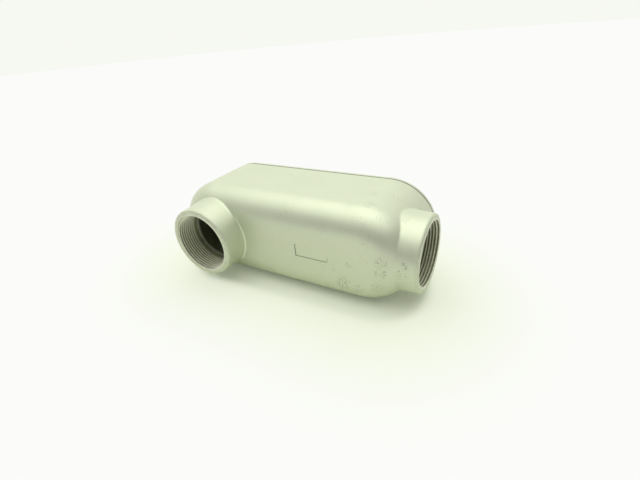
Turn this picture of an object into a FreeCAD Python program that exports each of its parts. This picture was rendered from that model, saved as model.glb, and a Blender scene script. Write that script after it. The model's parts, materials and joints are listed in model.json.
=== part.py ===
"""Elbow conduit body with a flat cover: the casting, its gasket, the cover and the captive screws.

Every piece is modelled about the middle of the cover seat: X runs along the body towards the end
hub, Y points out of the cover and Z runs across the width.  The pieces are then placed so that the
body lies on its side wall, with the origin at the middle of the footprint and +Z up.
"""
import FreeCAD, Part
import math
import os
import Sketcher

OUT_FOLDER = "parts"
LEAST_CHANGE = 1e-3  # mm3; a feature that changes less has missed the solid

SIZES = [
    # casting
    ("body_width", 108.0, "width across the straight sides"),
    ("outline_length", 300.2, "length of the rounded outline, hub left out"),
    ("body_depth", 99.8, "cover seat to the outside of the back wall"),
    ("wall", 4.8, "thickness of the side, end and back walls"),
    ("back_round", 29.0, "outside radius between the back wall and the sides"),
    ("seat_edge_round", 0.6, "softened outer edge of the cover seat"),
    # hubs
    ("hub_rim_radius", 41.8, "outside radius of a hub at its face"),
    ("hub_draft", 2.0, "draft of a hub's outside, in degrees"),
    ("hub_length", 45.0, "length of a hub's solid, root buried in the body"),
    ("rim_round", 2.8, "rounded outer edge of a hub's face"),
    ("hub_blend", 3.0, "fillet where a hub meets the body"),
    ("end_hub_reach", 9.2, "end hub's face beyond the end of the outline"),
    ("end_hub_drop", 53.8, "end hub's axis below the cover seat"),
    ("back_hub_reach", 28.2, "back hub's face beyond the back wall"),
    ("back_hub_inset", 61.8, "back hub's axis from the closed end of the outline"),
    # bores
    ("thread_radius", 36.3, "bore at the bottom of the pipe thread"),
    ("thread_depth", 24.0, "threaded length from a hub's face"),
    ("mouth_chamfer", 0.5, "chamfer at the mouth of the thread"),
    ("throat_radius", 33.4, "smooth throat behind the thread"),
    ("bushing_radius", 31.0, "opening of the cast-in bushing"),
    ("bushing_depth", 29.0, "hub face to the front of the bushing"),
    ("bushing_length", 4.0, "thickness of the bushing"),
    ("bushing_round", 1.5, "rounded edge of the bushing, for the wires"),
    ("inner_ring_radius", 41.0, "outside radius of the end hub inside the chamber"),
    # back wall details
    ("bead_radius", 44.0, "back hub's axis to the middle of the cast bead"),
    ("bead_size", 1.5, "radius of the bead's section"),
    ("bead_angle", 74.0, "arc that the bead covers, in degrees"),
    ("mark_centre", 45.2, "middle of the outline to the middle of the marking field"),
    ("mark_lift", 1.4, "marking field above the middle of the width"),
    ("mark_length", 39.6, "length of the marking field"),
    ("mark_height", 15.0, "height of the marking field"),
    ("mark_depth", 0.5, "how far the marking field is sunk in the wall"),
    ("mark_round", 0.25, "fillet round the floor of the marking field"),
    # cover lugs
    ("lug_spacing", 176.0, "distance between the lugs along the body"),
    ("lug_inset", 9.2, "screw axis from the outside of the body"),
    ("lug_radius", 7.8, "radius of a lug at the seat"),
    ("lug_depth", 24.0, "length of a lug below the seat"),
    ("lug_draft", 6.0, "draft of a lug, in degrees"),
    ("screw_hole_depth", 17.0, "tapped hole below the seat"),
    # cover, gasket and screws
    ("gasket_thickness", 1.6, "thickness of the gasket"),
    ("gasket_inset", 0.7, "gasket's edge inside the body's outline"),
    ("gasket_width", 8.0, "width of the gasket's band"),
    ("gasket_ear_radius", 8.4, "radius of the gasket round a screw"),
    ("cover_thickness", 4.0, "thickness of the cast cover"),
    ("cover_inset", 0.3, "cover's edge inside the body's outline"),
    ("cover_edge_round", 0.8, "softened outer edge of the cover"),
    ("panel_inset", 20.0, "raised panel's edge inside the body's outline"),
    ("panel_rise", 2.6, "height of the cover's raised panel"),
    ("panel_draft", 35.0, "slope of the panel's wall, in degrees"),
    ("panel_round", 1.6, "bend radius at the panel's edge"),
    ("screw_radius", 3.15, "radius of the screw's shank"),
    ("screw_length", 15.9, "screw below its head"),
    ("screw_tip_chamfer", 0.8, "chamfer at the screw's tip"),
    ("screw_clearance", 0.15, "shank to the lug's hole"),
    ("cover_hole_clearance", 0.5, "shank to the cover's hole"),
    ("head_radius", 5.9, "radius of the screw's head"),
    ("head_height", 3.4, "height of the screw's head"),
    ("head_crown", 1.5, "rounding of the head's upper edge"),
    ("slot_width", 1.7, "width of the screwdriver slot"),
    ("slot_depth", 1.6, "depth of the screwdriver slot"),
    ("retainer_thickness", 0.8, "thickness of the screw's retaining washer"),
    ("retainer_radius", 5.6, "outside radius of the retaining washer"),
    ("retainer_clearance", 0.06, "shank to the washer's hole"),
    ("retainer_room", 0.5, "washer to the gasket's hole"),
]

doc = FreeCAD.newDocument("ConduitBody")
sheet = doc.addObject("Spreadsheet::Sheet", "Sizes")
for row, (alias, value, meaning) in enumerate(SIZES, start=1):
    sheet.set(f"A{row}", alias)
    sheet.set(f"B{row}", str(value))
    sheet.set(f"C{row}", meaning)
    sheet.setAlias(f"B{row}", alias)
doc.recompute()


def size(alias):
    """A driving size of the sheet, in millimetres or degrees."""
    return float(sheet.get(alias))


def bind(target, path, words):
    """Bind a property to sheet sizes; each size is written <like_this> in words."""
    target.setExpression(path, words.replace("<", "Sizes.").replace(">", ""))


# Places shared by several pieces, as expressions on the sheet
LUG_X = "<lug_spacing> / 2"
LUG_Z = "(<body_width> / 2 - <lug_inset>)"
GASKET_TOP = "<gasket_thickness>"
COVER_TOP = "(<gasket_thickness> + <cover_thickness>)"
HEAD_TOP = "(<gasket_thickness> + <cover_thickness> + <head_height>)"
BORE_END = "(<hub_length> - <bushing_depth> - <bushing_length>)"
GASKET_HOLE = "<retainer_radius> + <retainer_room>"
SHIFT_X = "-<end_hub_reach> / 2"
SHIFT_Y = f"(<body_depth> + <back_hub_reach> - {HEAD_TOP}) / 2"
SHIFT_Z = "<body_width> / 2"

SIGNS = [(1, 1), (-1, 1), (-1, -1), (1, -1)]


def new_piece(node):
    """An empty body whose label names the node, placed in the frame of the whole part."""
    body = doc.addObject("PartDesign::Body", node)
    body.Label = node
    bind(body, "Placement.Base.x", SHIFT_X)
    bind(body, "Placement.Base.y", SHIFT_Y)
    bind(body, "Placement.Base.z", SHIFT_Z)
    return body


def new_sketch(body, name, role, offset=("0", "0", "0"), turn=0.0):
    """A sketch on one of the body's origin planes, moved along the plane's own axes."""
    sketch = body.newObject("Sketcher::SketchObject", name)
    plane = [item for item in body.Origin.OriginFeatures if item.Role == role][0]
    sketch.AttachmentSupport = [(plane, "")]
    sketch.MapMode = "FlatFace"
    sketch.AttachmentOffset = FreeCAD.Placement(
        FreeCAD.Vector(), FreeCAD.Rotation(FreeCAD.Vector(0, 0, 1), turn)
    )
    for axis, words in zip("xyz", offset):
        if words != "0":
            bind(sketch, f"AttachmentOffset.Base.{axis}", words)
    return sketch


def constrain(sketch, name, words, *where):
    """Add a named dimension to a sketch and bind it to the sheet."""
    index = sketch.addConstraint(Sketcher.Constraint(*where))
    sketch.renameConstraint(index, name)
    bind(sketch, f"Constraints.{name}", words)


def draw_stadium(sketch, radius, spacing, prefix=""):
    """Two straight sides joined by half circles; spacing is between the arcs' centres."""
    near, far = 50.0, 90.0
    right = sketch.addGeometry(
        Part.ArcOfCircle(
            Part.Circle(FreeCAD.Vector(far, 0, 0), FreeCAD.Vector(0, 0, 1), near),
            -math.pi / 2,
            math.pi / 2,
        )
    )
    left = sketch.addGeometry(
        Part.ArcOfCircle(
            Part.Circle(FreeCAD.Vector(-far, 0, 0), FreeCAD.Vector(0, 0, 1), near),
            math.pi / 2,
            3 * math.pi / 2,
        )
    )
    top = sketch.addGeometry(
        Part.LineSegment(FreeCAD.Vector(far, near, 0), FreeCAD.Vector(-far, near, 0))
    )
    bottom = sketch.addGeometry(
        Part.LineSegment(FreeCAD.Vector(-far, -near, 0), FreeCAD.Vector(far, -near, 0))
    )
    for first, first_end, second, second_end in (
        (right, 2, top, 1),
        (top, 2, left, 1),
        (left, 2, bottom, 1),
        (bottom, 2, right, 1),
    ):
        sketch.addConstraint(Sketcher.Constraint("Tangent", first, first_end, second, second_end))
    sketch.addConstraint(Sketcher.Constraint("Equal", right, left))
    sketch.addConstraint(Sketcher.Constraint("PointOnObject", right, 3, -1))
    sketch.addConstraint(Sketcher.Constraint("Symmetric", right, 3, left, 3, -1, 1))
    constrain(sketch, f"{prefix}end_radius", radius, "Radius", right, near)
    constrain(sketch, f"{prefix}centres", spacing, "DistanceX", left, 3, right, 3, 2 * far)


def draw_outline(sketch, inset, prefix=""):
    """The body's outline, drawn in by an inset."""
    radius = f"<body_width> / 2 - ({inset})"
    draw_stadium(sketch, radius, "<outline_length> - <body_width>", prefix)


def draw_circle(sketch, name, across, up, radius):
    """A circle whose centre is given from the sketch's origin; a place of 0 is on the axis."""
    circle = sketch.addGeometry(
        Part.Circle(FreeCAD.Vector(30, 20, 0), FreeCAD.Vector(0, 0, 1), 5.0)
    )
    constrain(sketch, f"{name}_radius", radius, "Radius", circle, 5.0)
    if across == "0":
        sketch.addConstraint(Sketcher.Constraint("PointOnObject", circle, 3, -2))
    else:
        constrain(sketch, f"{name}_across", across, "DistanceX", -1, 1, circle, 3, 30.0)
    if up == "0":
        sketch.addConstraint(Sketcher.Constraint("PointOnObject", circle, 3, -1))
    else:
        constrain(sketch, f"{name}_up", up, "DistanceY", -1, 1, circle, 3, 20.0)


def draw_polygon(sketch, corners):
    """A closed outline through corners, each a pair of expressions; 0 lies on the axis."""
    guess = [
        FreeCAD.Vector(20 + 10 * math.cos(angle), 20 + 10 * math.sin(angle), 0)
        for angle in (2 * math.pi * n / len(corners) for n in range(len(corners)))
    ]
    lines = [
        sketch.addGeometry(Part.LineSegment(guess[n], guess[(n + 1) % len(corners)]))
        for n in range(len(corners))
    ]
    for n, line in enumerate(lines):
        following = lines[(n + 1) % len(lines)]
        sketch.addConstraint(Sketcher.Constraint("Coincident", line, 2, following, 1))
    for n, (across, up) in enumerate(corners):
        if across == "0":
            sketch.addConstraint(Sketcher.Constraint("PointOnObject", lines[n], 1, -2))
        else:
            constrain(sketch, f"across_{n}", across, "DistanceX", -1, 1, lines[n], 1, 20.0)
        if up == "0":
            sketch.addConstraint(Sketcher.Constraint("PointOnObject", lines[n], 1, -1))
        else:
            constrain(sketch, f"up_{n}", up, "DistanceY", -1, 1, lines[n], 1, 20.0)


def draw_rectangle(sketch, across, up, length, height):
    """An upright rectangle about a middle given from the sketch's origin."""
    corners = []
    for sign_across, sign_up in ((-1, -1), (1, -1), (1, 1), (-1, 1)):
        corners.append((f"{across} + {sign_across} * {length} / 2", f"{up} + {sign_up} * {height} / 2"))
    draw_polygon(sketch, corners)


def draw_screw_profile(sketch):
    """Half of a screw: the sketch's axis is the screw's, and its origin is under the head."""
    draw_polygon(
        sketch,
        [
            ("-<screw_length>", "0"),
            ("<head_height>", "0"),
            ("<head_height>", "<head_radius>"),
            ("0", "<head_radius>"),
            ("0", "<screw_radius>"),
            ("-<screw_length>", "<screw_radius>"),
        ],
    )


def draw_screw_circles(sketch, radius):
    """One circle at each of the cover screws."""
    for n, (sign_x, sign_z) in enumerate(SIGNS):
        draw_circle(sketch, f"screw_{n}", f"{sign_x} * {LUG_X}", f"{sign_z} * {LUG_Z}", radius)


def volume(feature):
    """Solid volume of a feature's result, in cubic millimetres."""
    return feature.Shape.Volume


def finish_feature(body, feature, adds):
    """Recompute a feature and make sure that it added or removed material as meant."""
    before = volume(feature.BaseFeature) if feature.BaseFeature else 0.0
    doc.recompute()
    change = volume(feature) - before
    if abs(change) < LEAST_CHANGE or (change > 0) != adds:
        raise RuntimeError(f"{body.Label}: {feature.Name} changed the volume by {change:.3f}")
    return feature


def pad(body, sketch, length, reverse=False, draft=None):
    """Pad a sketch; the XZ plane's own direction is -Y, into the body."""
    feature = body.newObject("PartDesign::Pad", f"{sketch.Name}Pad")
    feature.Profile = sketch
    feature.Reversed = reverse
    bind(feature, "Length", length)
    if draft:
        bind(feature, "TaperAngle", draft)
    sketch.Visibility = False
    return finish_feature(body, feature, adds=True)


def pocket(body, sketch, length, reverse=False, draft=None):
    """Cut a sketch into the body, against the plane's own direction unless reversed."""
    feature = body.newObject("PartDesign::Pocket", f"{sketch.Name}Pocket")
    feature.Profile = sketch
    feature.Reversed = reverse
    bind(feature, "Length", length)
    if draft:
        bind(feature, "TaperAngle", draft)
    return finish_feature(body, feature, adds=False)


def turn_profile(body, sketch, kind, angle="360", symmetric=False):
    """Add (Revolution) or cut (Groove) a profile turned about its sketch's horizontal axis."""
    feature = body.newObject(f"PartDesign::{kind}", f"{sketch.Name}{kind}")
    feature.Profile = sketch
    feature.ReferenceAxis = (sketch, ["H_Axis"])
    feature.Midplane = symmetric
    bind(feature, "Angle", angle)
    return finish_feature(body, feature, adds=kind == "Revolution")


def dress(body, kind, wanted, amount, adds):
    """Fillet or Chamfer the tip's edges for which wanted(edge) is true."""
    base = body.Tip
    names = [f"Edge{n}" for n, edge in enumerate(base.Shape.Edges, start=1) if wanted(edge)]
    if not names:
        raise RuntimeError(f"{body.Label}: no edge to dress after {base.Name}")
    feature = body.newObject(f"PartDesign::{kind}", f"{kind}{len(body.Group)}")
    feature.Base = (base, names)
    bind(feature, "Radius" if kind == "Fillet" else "Size", amount)
    return finish_feature(body, feature, adds)


def samples(edge):
    """Five points along an edge."""
    first, last = edge.ParameterRange
    return [edge.valueAt(first + (last - first) * n / 4) for n in range(5)]


def on_plane(axis, place, tolerance=1e-3):
    """Test for edges that lie in the plane where the coordinate axis equals place."""
    return lambda edge: all(abs(getattr(p, axis) - place) < tolerance for p in samples(edge))


def outer_edge(level, half_width, tolerance=1e-3):
    """Test for the edges of the outline, of this half width, at a level of Y."""
    half_straight = (size("outline_length") - size("body_width")) / 2

    def test(edge):
        for p in samples(edge):
            beyond = max(abs(p.x) - half_straight, 0.0)
            if abs(p.y - level) > tolerance or abs(math.hypot(beyond, p.z) - half_width) > tolerance:
                return False
        return True

    return test


def round_about(axis, middle, radius, tolerance=1e-3):
    """Test for edges at a radius from a line along axis that goes through middle."""

    def test(edge):
        for p in samples(edge):
            away = p.sub(FreeCAD.Vector(*middle))
            setattr(away, axis, 0.0)
            if abs(away.Length - radius) > tolerance:
                return False
        return True

    return test


# --- the casting ---------------------------------------------------------------------------------

HUBS = {
    # name: origin of the hub's profile from the body's own origin, turn of the profile in degrees
    "EndHub": (("<outline_length> / 2 + <end_hub_reach> - <hub_length>", "-<end_hub_drop>", "0"), 0),
    "BackHub": (
        ("<back_hub_inset> - <outline_length> / 2", "<hub_length> - <body_depth> - <back_hub_reach>", "0"),
        -90,
    ),
}
END_FACE_X = size("outline_length") / 2 + size("end_hub_reach")
BACK_FACE_Y = -size("body_depth") - size("back_hub_reach")
BACK_HUB_X = size("back_hub_inset") - size("outline_length") / 2


def hub_places(name):
    """The row axis, a point on the axis and the axial place of the face of a hub."""
    if name == "EndHub":
        return "x", (0.0, -size("end_hub_drop"), 0.0), END_FACE_X, 1
    return "y", (BACK_HUB_X, 0.0, 0.0), BACK_FACE_Y, -1


def meets_hub(name):
    """Test for the edges where a hub's drafted outside runs into the body."""
    axis, middle, face, outward = hub_places(name)
    slope = math.tan(math.radians(size("hub_draft")))

    def test(edge):
        for p in samples(edge):
            inward = (face - getattr(p, axis)) * outward
            away = p.sub(FreeCAD.Vector(*middle))
            setattr(away, axis, 0.0)
            wanted = size("hub_rim_radius") + inward * slope
            if inward < size("rim_round") + 1.0 or abs(away.Length - wanted) > 0.02:
                return False
        return edge.Length > 1.0

    return test


def build_chamber_core():
    """The core that leaves the wire chamber, in the casting's own frame."""
    core = doc.addObject("PartDesign::Body", "chamber_core")
    chamber = new_sketch(core, "Chamber", "XZ_Plane")
    draw_outline(chamber, "<wall>")
    pad(core, chamber, "<body_depth> - <wall>")
    back = size("wall") - size("body_depth")
    dress(core, "Fillet", on_plane("y", back), "<back_round> - <wall>", adds=False)
    return core


def build_casting():
    """The one-piece casting: shell, two threaded hubs with bushings, lugs and cast marks."""
    body = new_piece("body")

    outline = new_sketch(body, "Outline", "XZ_Plane")
    draw_outline(outline, "0")
    pad(body, outline, "<body_depth>")
    dress(body, "Fillet", on_plane("y", -size("body_depth")), "<back_round>", adds=False)

    for name, (origin, turn) in HUBS.items():
        outside = new_sketch(body, f"{name}Outside", "XY_Plane", origin, turn)
        root = "<hub_rim_radius> + <hub_length> * tan(<hub_draft> * 1 deg)"
        draw_polygon(
            outside,
            [("0", "0"), ("<hub_length>", "0"), ("<hub_length>", "<hub_rim_radius>"), ("0", root)],
        )
        turn_profile(body, outside, "Revolution")
        axis, middle, face, outward = hub_places(name)
        dress(body, "Fillet", on_plane(axis, face), "<rim_round>", adds=False)
        dress(body, "Fillet", meets_hub(name), "<hub_blend>", adds=True)

    cut = body.newObject("PartDesign::Boolean", "ChamberCut")
    cut.Type = "Cut"
    cut.addObject(build_chamber_core())
    finish_feature(body, cut, adds=False)

    origin, turn = HUBS["EndHub"]
    ring = new_sketch(body, "InnerRing", "XY_Plane", origin, turn)
    draw_polygon(
        ring,
        [
            (BORE_END, "0"),
            ("<hub_length> - <rim_round>", "0"),
            ("<hub_length> - <rim_round>", "<inner_ring_radius>"),
            (BORE_END, "<inner_ring_radius>"),
        ],
    )
    turn_profile(body, ring, "Revolution")

    for name, (origin, turn) in HUBS.items():
        bore = new_sketch(body, f"{name}Bore", "XY_Plane", origin, turn)
        mouth = "<hub_length> + 1"
        inside = f"{BORE_END} - <back_round> / 3"
        draw_polygon(
            bore,
            [
                (inside, "0"),
                (mouth, "0"),
                (mouth, "<thread_radius> + <mouth_chamfer> + 1"),
                ("<hub_length> - <mouth_chamfer>", "<thread_radius>"),
                ("<hub_length> - <thread_depth>", "<thread_radius>"),
                ("<hub_length> - <thread_depth> - (<thread_radius> - <throat_radius>) / 2", "<throat_radius>"),
                ("<hub_length> - <bushing_depth>", "<throat_radius>"),
                ("<hub_length> - <bushing_depth>", "<bushing_radius>"),
                (inside, "<bushing_radius>"),
            ],
        )
        turn_profile(body, bore, "Groove")
        axis, middle, _, _ = hub_places(name)
        dress(body, "Fillet", round_about(axis, middle, size("bushing_radius")), "<bushing_round>", False)

    lugs = new_sketch(body, "Lugs", "XZ_Plane")
    draw_screw_circles(lugs, "<lug_radius>")
    pad(body, lugs, "<lug_depth>", draft="-<lug_draft>")

    holes = new_sketch(body, "ScrewHoles", "XZ_Plane")
    draw_screw_circles(holes, "<screw_radius> + <screw_clearance>")
    pocket(body, holes, "<screw_hole_depth>", reverse=True)

    add_bead(body)
    cut_marking_field(body)

    half_width = size("body_width") / 2
    dress(body, "Fillet", outer_edge(0.0, half_width), "<seat_edge_round>", adds=False)
    return body


def add_bead(body):
    """The raised bead cast along the back hub's foot, on the side of the end hub."""
    back_hub, _ = HUBS["BackHub"]
    middle = (back_hub[0], "-<body_depth>", "0")
    section = new_sketch(body, "Bead", "XY_Plane", middle, -90)
    draw_circle(section, "bead", "0", "<bead_radius>", "<bead_size>")
    turn_profile(body, section, "Revolution", "<bead_angle>", symmetric=True)


def cut_marking_field(body):
    """The bare sunken field on the back wall, where such bodies carry their marking."""
    field = new_sketch(body, "MarkingField", "XZ_Plane", ("0", "0", "<body_depth>"))
    draw_rectangle(field, "<mark_centre>", "<mark_lift>", "<mark_length>", "<mark_height>")
    pocket(body, field, "<mark_depth>")
    floor = size("mark_depth") - size("body_depth")
    dress(body, "Fillet", on_plane("y", floor), "<mark_round>", adds=True)


# --- the cover, its gasket and its screws --------------------------------------------------------


def build_gasket():
    """The flat gasket: a band round the seat that widens to a ring at each screw."""
    gasket = new_piece("gasket")
    band = new_sketch(gasket, "Band", "XZ_Plane")
    draw_outline(band, "<gasket_inset>")
    draw_outline(band, "<gasket_inset> + <gasket_width>", "inner_")
    pad(gasket, band, GASKET_TOP, reverse=True)
    ears = new_sketch(gasket, "Ears", "XZ_Plane")
    draw_screw_circles(ears, "<gasket_ear_radius>")
    pad(gasket, ears, GASKET_TOP, reverse=True)
    holes = new_sketch(gasket, "ScrewHoles", "XZ_Plane")
    draw_screw_circles(holes, GASKET_HOLE)
    pocket(gasket, holes, GASKET_TOP)
    return gasket


def build_cover():
    """The cast cover, with a raised panel hollowed from below."""
    cover = new_piece("cover")
    plate = new_sketch(cover, "Plate", "XZ_Plane", ("0", "0", f"-{GASKET_TOP}"))
    draw_outline(plate, "<cover_inset>")
    pad(cover, plate, "<cover_thickness>", reverse=True)
    top = size("gasket_thickness") + size("cover_thickness")
    half_width = size("body_width") / 2 - size("cover_inset")
    dress(cover, "Fillet", outer_edge(top, half_width), "<cover_edge_round>", adds=False)

    panel = new_sketch(cover, "Panel", "XZ_Plane", ("0", "0", f"-{COVER_TOP}"))
    draw_outline(panel, "<panel_inset>")
    pad(cover, panel, "<panel_rise>", reverse=True, draft="-<panel_draft>")
    hollow = new_sketch(cover, "PanelHollow", "XZ_Plane", ("0", "0", f"-{GASKET_TOP}"))
    draw_outline(hollow, "<panel_inset> + <cover_thickness> * tan(45 deg - <panel_draft> * 0.5 deg)")
    pocket(cover, hollow, "<panel_rise>", draft="-<panel_draft>")
    dress(cover, "Fillet", on_plane("y", top + size("panel_rise")), "<panel_round>", adds=False)

    holes = new_sketch(cover, "ScrewHoles", "XZ_Plane", ("0", "0", f"-{GASKET_TOP}"))
    draw_screw_circles(holes, "<screw_radius> + <cover_hole_clearance>")
    pocket(cover, holes, "<cover_thickness>")
    return cover


def build_screw(number, sign_x, sign_z):
    """A slotted cover screw: a crowned head on a plain shank with a chamfered tip."""
    screw = new_piece(f"cover_screw_{number}")
    seat = (f"{sign_x} * {LUG_X}", f"{COVER_TOP}", f"{sign_z} * {LUG_Z}")
    profile = new_sketch(screw, f"Screw{number}Profile", "XY_Plane", seat, 90)
    draw_screw_profile(profile)
    turn_profile(screw, profile, "Revolution")
    crown_place = size("gasket_thickness") + size("cover_thickness") + size("head_height")
    dress(screw, "Fillet", on_plane("y", crown_place), "<head_crown>", adds=False)
    dress(screw, "Chamfer", on_plane("y", crown_place - size("head_height") - size("screw_length")),
          "<screw_tip_chamfer>", adds=False)
    slot = new_sketch(
        screw, f"Screw{number}Slot", "XZ_Plane",
        (f"{sign_x} * {LUG_X}", f"{sign_z} * {LUG_Z}", f"-{HEAD_TOP}"),
    )
    draw_rectangle(slot, "0", "0", "3 * <head_radius>", "<slot_width>")
    pocket(screw, slot, "<slot_depth>", reverse=True)
    return screw


def build_retainer(number, sign_x, sign_z):
    """The fibre washer under the cover that keeps a backed-out screw with it."""
    retainer = new_piece(f"screw_retainer_{number}")
    under = ("0", "0", f"<retainer_thickness> - {GASKET_TOP}")
    ring = new_sketch(retainer, f"Retainer{number}Ring", "XZ_Plane", under)
    across = f"{sign_x} * {LUG_X}"
    up = f"{sign_z} * {LUG_Z}"
    draw_circle(ring, "outer", across, up, "<retainer_radius>")
    draw_circle(ring, "inner", across, up, "<screw_radius> + <retainer_clearance>")
    pad(retainer, ring, "<retainer_thickness>", reverse=True)
    return retainer


def check_document():
    """Stop if any object of the document failed to compute."""
    for item in doc.Objects:
        if "Invalid" in item.State or "Error" in item.State:
            raise RuntimeError(f"{item.Label} is {item.State}")


def write_pieces(pieces):
    """Write each piece's shape to the STEP file that carries its node's name."""
    os.makedirs(OUT_FOLDER, exist_ok=True)
    for piece in pieces:
        if piece.Shape.isNull() or not piece.Shape.isValid() or len(piece.Shape.Solids) != 1:
            raise RuntimeError(f"{piece.Label} is not one valid solid")
    for piece in pieces:
        piece.Shape.exportStep(os.path.join(OUT_FOLDER, f"{piece.Label}.step"))
        print(f"{piece.Label}: {piece.Shape.Volume / 1000:.2f} cm3")


pieces = [build_casting(), build_gasket(), build_cover()]
for number, (sign_x, sign_z) in enumerate(SIGNS, start=1):
    pieces.append(build_screw(number, sign_x, sign_z))
    pieces.append(build_retainer(number, sign_x, sign_z))
doc.recompute()
check_document()
write_pieces(pieces)
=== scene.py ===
"""An elbow conduit body in cast metal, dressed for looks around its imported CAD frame.

The casting, its cover, gasket and retainers keep their solids and get procedural finishes here. The
pipe threads inside the two hubs and the four cover screws are modelled here at full detail.
"""
import json
import logging
import math
from dataclasses import dataclass, field
from enum import Enum
from typing import Any, Callable, Mapping, Sequence

import bmesh
import bpy
from mathutils import Matrix, Vector


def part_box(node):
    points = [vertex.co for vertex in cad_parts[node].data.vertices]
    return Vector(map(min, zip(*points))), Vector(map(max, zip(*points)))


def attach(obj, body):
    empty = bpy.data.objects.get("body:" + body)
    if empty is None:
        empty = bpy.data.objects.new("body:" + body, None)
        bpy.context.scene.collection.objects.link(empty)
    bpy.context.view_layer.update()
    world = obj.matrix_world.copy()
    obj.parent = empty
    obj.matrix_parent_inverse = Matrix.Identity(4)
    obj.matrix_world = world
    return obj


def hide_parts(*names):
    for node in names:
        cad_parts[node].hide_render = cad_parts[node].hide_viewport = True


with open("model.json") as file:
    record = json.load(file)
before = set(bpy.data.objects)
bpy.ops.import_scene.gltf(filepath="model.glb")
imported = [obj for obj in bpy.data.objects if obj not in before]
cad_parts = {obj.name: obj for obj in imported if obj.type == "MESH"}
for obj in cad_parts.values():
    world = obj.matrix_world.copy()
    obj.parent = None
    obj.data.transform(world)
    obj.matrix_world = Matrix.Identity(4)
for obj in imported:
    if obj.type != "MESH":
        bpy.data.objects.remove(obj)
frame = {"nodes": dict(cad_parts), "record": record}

LOG = logging.getLogger("conduit_body")
MM = 0.001
NEAR = 0.01 * MM
WELD = 0.002 * MM

Triple = tuple[float, float, float]
Colour = Triple
Span = tuple[float, float]


class Hub(Enum):
    """The two threaded hubs, by the name that the record's mounts give them."""

    END = "end_hub"
    BACK = "back_hub"


class Part(Enum):
    """What a modelling step selects in a mesh."""

    VERTS = "VERT"
    EDGES = "EDGE"


@dataclass(frozen=True)
class HubPlace:
    """Where a hub's bore is.

    Attributes:
        mouth: The middle of the hub's face.
        outward: The unit vector out of the hub along its axis.
        along: Which axis it points along: 0, 1 or 2.
    """

    mouth: Vector
    outward: Vector
    along: int

    @classmethod
    def of(cls, hub: Hub) -> "HubPlace":
        """The hub's place, from the record's mount and the casting's box.

        Args:
            hub: Which hub.

        Returns:
            Its place in the row frame.
        """
        mount = next(m for m in frame["record"]["mounts"] if m["name"] == hub.value)
        mouth, outward = Vector(mount["pos_m"]), Vector(mount["axis"])
        along = max(range(3), key=lambda axis: abs(outward[axis]))
        low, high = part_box("body")
        mouth[along] = (high if outward[along] > 0.0 else low)[along]
        return cls(mouth, outward, along)


# ---------------------------------------------------------------- shader wiring


class Signal:
    """An output socket that sums, products and comparisons can be written with."""

    def __init__(self, sheet: "Sheet", socket: bpy.types.NodeSocket) -> None:
        """Keeps the socket and the sheet that it is on."""
        self.sheet = sheet
        self.socket = socket

    def _math(self, operation: str, *values: "Signal | float") -> "Signal":
        """One Math node over these values."""
        inputs = dict(enumerate(values))
        return self.sheet.signal("ShaderNodeMath", {"operation": operation}, inputs)

    def __add__(self, other: "Signal | float") -> "Signal":
        """self + other."""
        return self._math("ADD", self, other)

    __radd__ = __add__

    def __sub__(self, other: "Signal | float") -> "Signal":
        """self - other."""
        return self._math("SUBTRACT", self, other)

    def __rsub__(self, other: float) -> "Signal":
        """other - self."""
        return self._math("SUBTRACT", other, self)

    def __mul__(self, other: "Signal | float") -> "Signal":
        """self * other."""
        return self._math("MULTIPLY", self, other)

    __rmul__ = __mul__

    def __truediv__(self, other: "Signal | float") -> "Signal":
        """self / other."""
        return self._math("DIVIDE", self, other)

    def __pow__(self, other: float) -> "Signal":
        """self to the power of other."""
        return self._math("POWER", self, other)

    def least(self, other: "Signal | float") -> "Signal":
        """The lower of the two."""
        return self._math("MINIMUM", self, other)

    def most(self, other: "Signal | float") -> "Signal":
        """The higher of the two."""
        return self._math("MAXIMUM", self, other)

    def root(self) -> "Signal":
        """The square root."""
        return self._math("SQRT", self)

    def ramp(self, low: float, high: float) -> "Signal":
        """A smooth step.

        Args:
            low: The value that gives 0.
            high: The value that gives 1; below low for a falling step.

        Returns:
            A signal from 0 to 1.
        """
        first, last, start, end = (low, high, 0.0, 1.0) if low <= high else (high, low, 1.0, 0.0)
        return self.sheet.signal("ShaderNodeMapRange", {"interpolation_type": "SMOOTHSTEP"}, {
            "Value": self, 1: first, 2: last, 3: start, 4: end})

    def line(self, width: float) -> "Signal":
        """A soft line where the signal is nought.

        Args:
            width: How far from nought the line ends; it is full up to 0.4 of that.

        Returns:
            1 on the line and 0 off it.
        """
        return (self * self).ramp(width ** 2, (width * 0.4) ** 2)


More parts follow.
